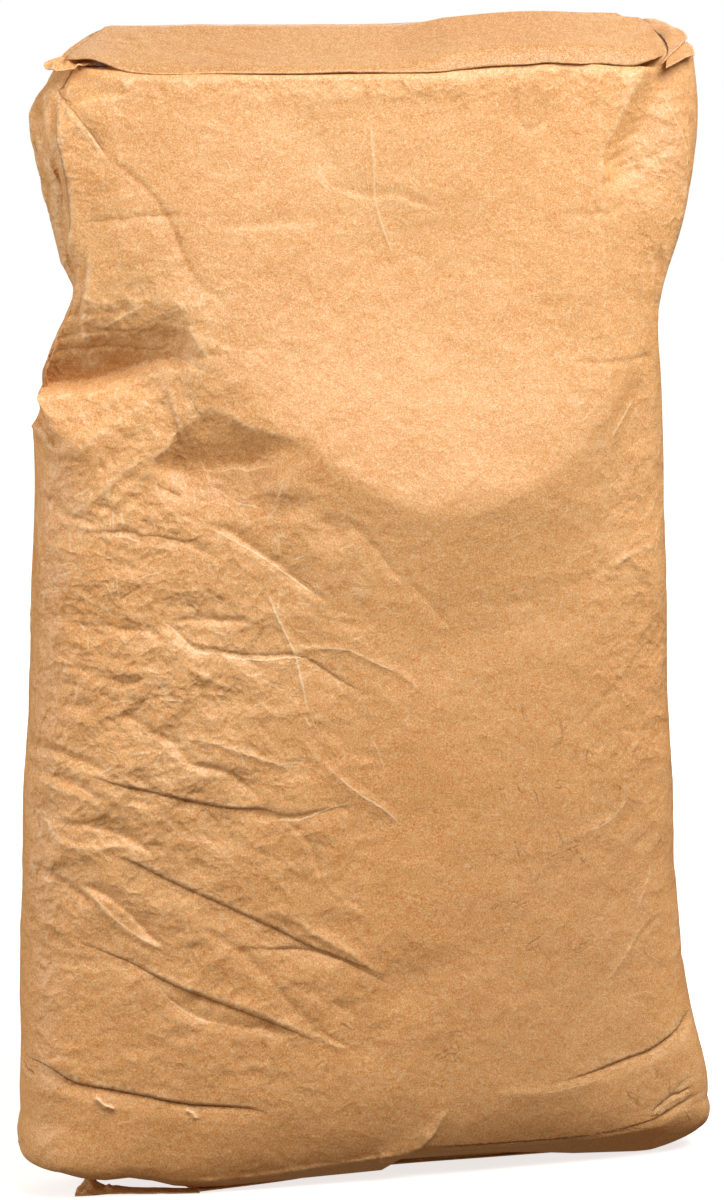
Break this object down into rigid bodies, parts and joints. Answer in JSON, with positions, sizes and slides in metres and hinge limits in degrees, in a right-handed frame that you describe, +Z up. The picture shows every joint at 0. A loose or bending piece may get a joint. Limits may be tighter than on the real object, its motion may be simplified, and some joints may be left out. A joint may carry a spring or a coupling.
{
  "type": "bag of sand",
  "caption": "Upright kraft paper valve sack filled with dry sand, with pasted block ends and a narrow, folded-in waist above the fill.",
  "frame": {"origin": "middle of the sack's outline, at the face that it stands on", "axes": "+Z up the sack, X along its width, -Y out of its front face, +Y out of its back"},
  "size_m": [0.4324, 0.117, 0.6958],
  "materials": {
    "sack_kraft": "matte",
    "cover_kraft": "matte",
    "sleeve_kraft": "matte",
    "dry_sand": "matte"
  },
  "bodies": {
    "root": {"paper_sack": "sack_kraft", "sand_fill": "dry_sand", "top_patch": "cover_kraft", "bottom_patch": "cover_kraft", "valve_sleeve": "sleeve_kraft"}
  },
  "joints": []
}
